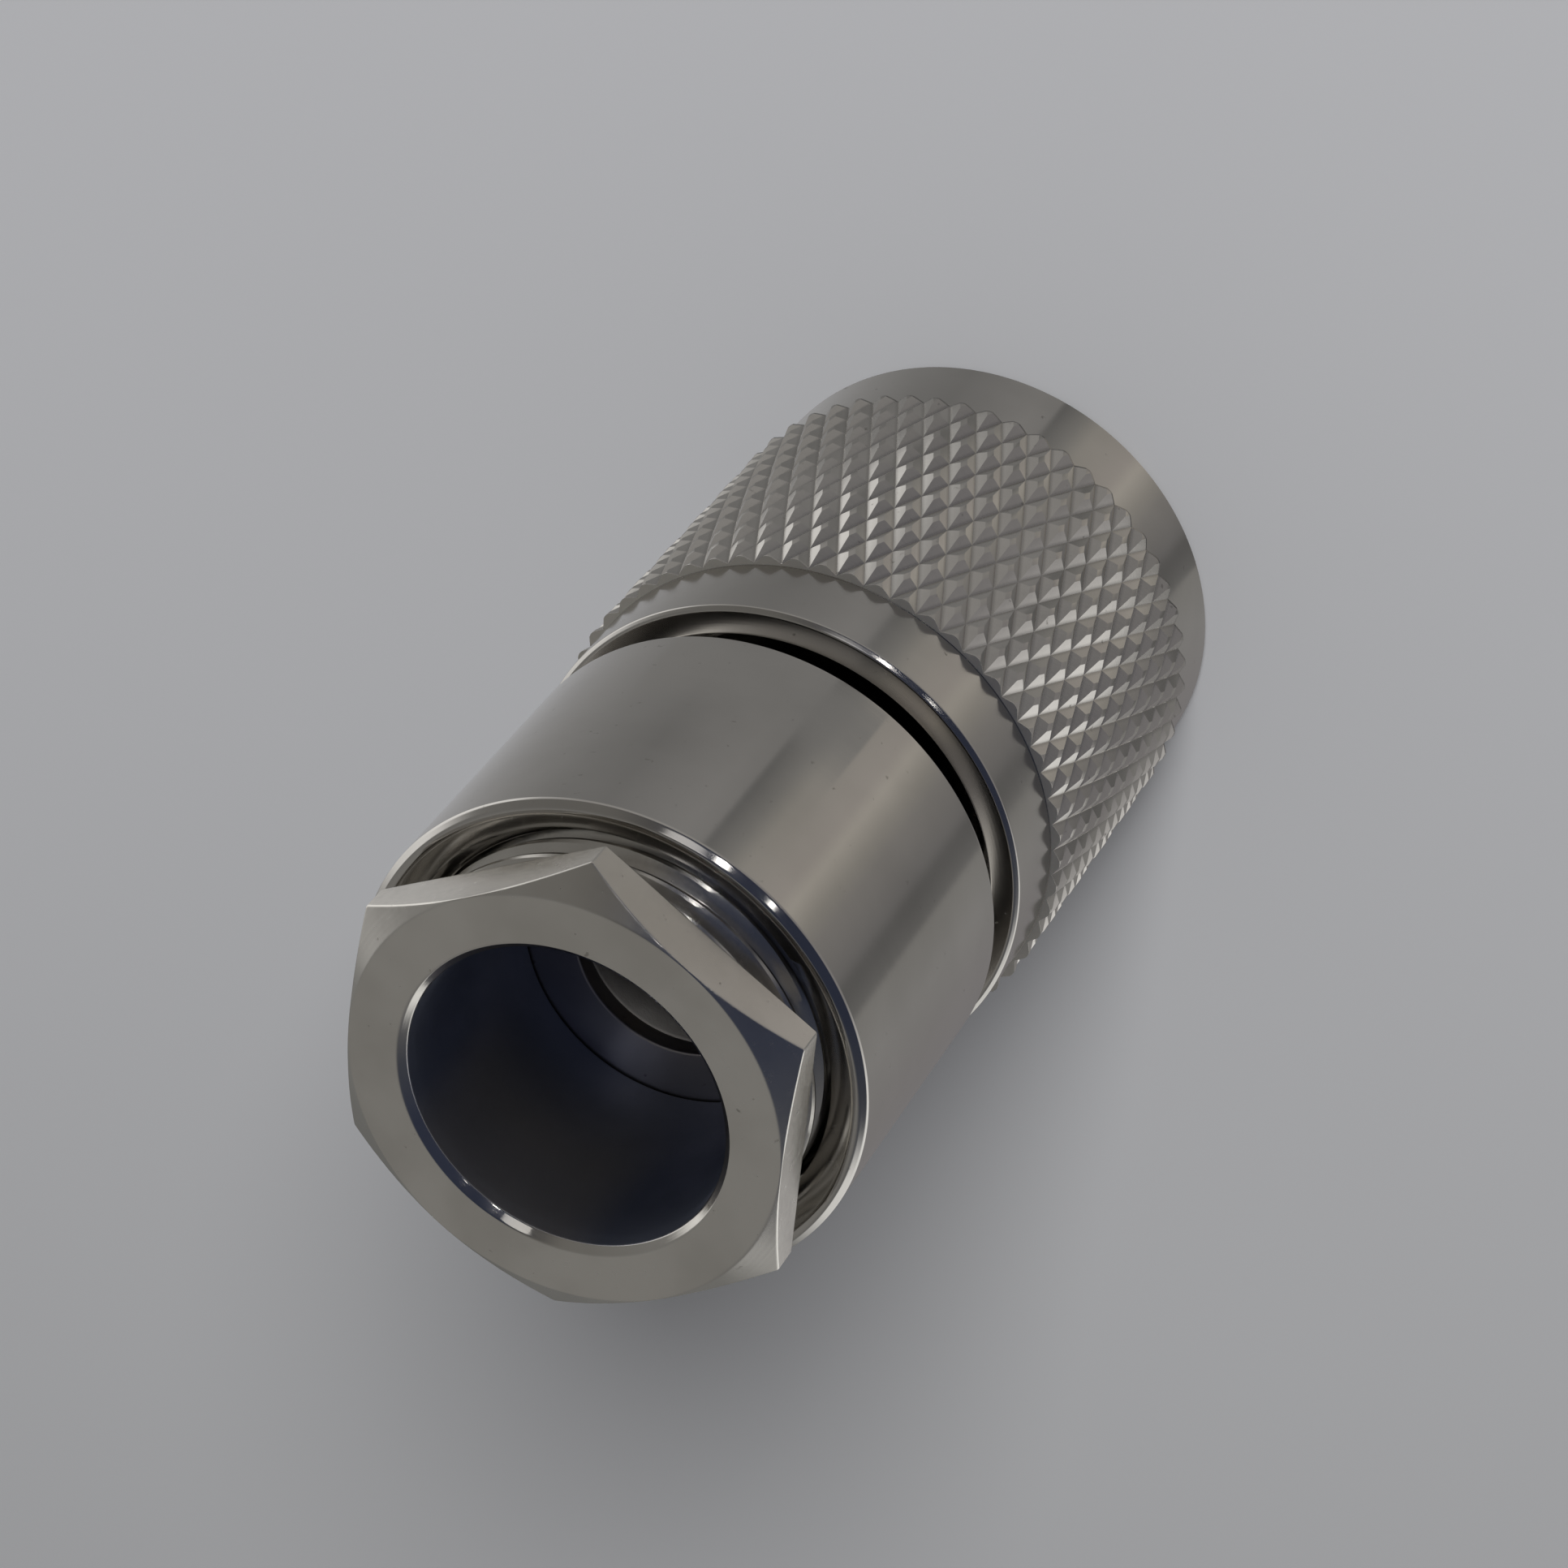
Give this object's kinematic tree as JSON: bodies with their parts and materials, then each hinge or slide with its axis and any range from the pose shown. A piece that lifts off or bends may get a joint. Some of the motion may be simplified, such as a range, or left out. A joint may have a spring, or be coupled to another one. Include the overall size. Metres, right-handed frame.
{
  "type": "tnc connector",
  "caption": "Threaded coaxial cable plug: knurled turning coupling nut, turned body, pin and slotted contact inside, hexagon clamp nut with open cable bore.",
  "frame": {"origin": "centre of the coupling nut's front rim, at the mouth that goes over the mating socket; the plug stands on this rim", "axes": "+Z runs along the plug's axis from the mating mouth to the cable end; X and Y are across it"},
  "size_m": [0.0156, 0.0156, 0.0303],
  "materials": {
    "plated_brass": "nickel plate over brass, satin as turned",
    "spring_metal": "spring bronze, plain",
    "sleeve_metal": "bright plate over a spring copper alloy",
    "pin_metal": "gold plate over brass",
    "pale_plastic": "white fluoroplastic, slightly waxy",
    "seal_rubber": "red-brown silicone rubber",
    "dark_rubber": "dark synthetic rubber"
  },
  "bodies": {
    "body": {"body_shell": "plated_brass", "retaining_ring": "spring_metal", "interface_gasket": "seal_rubber", "outer_contact": "sleeve_metal", "front_insulator": "pale_plastic", "centre_contact": "pin_metal", "rear_insulator": "pale_plastic", "braid_clamp": "plated_brass"},
    "coupling": {"coupling_nut": "plated_brass"},
    "clamp_stack": {"slip_washer": "plated_brass", "clamp_gasket": "dark_rubber"},
    "clamp_screw": {"clamp_nut": "plated_brass"}
  },
  "joints": [
    {"name": "coupling_nut_turn", "type": "hinge", "parent": "body", "child": "coupling", "pos_m": [0, 0, 0.008], "axis": [0, 0, 1], "continuous": true},
    {"name": "clamp_travel", "type": "slide", "parent": "body", "child": "clamp_stack", "axis": [0, 0, 1], "range_m": [-0.0008, 0.0032]},
    {"name": "clamp_nut_turn", "type": "hinge", "parent": "clamp_stack", "child": "clamp_screw", "pos_m": [0, 0, 0.026], "axis": [0, 0, 1], "range_deg": [-360, 1440]}
  ],
  "couplings": [
    {"joint": "clamp_travel", "follows": "clamp_nut_turn", "m_per_rad": 0.00012732}
  ]
}
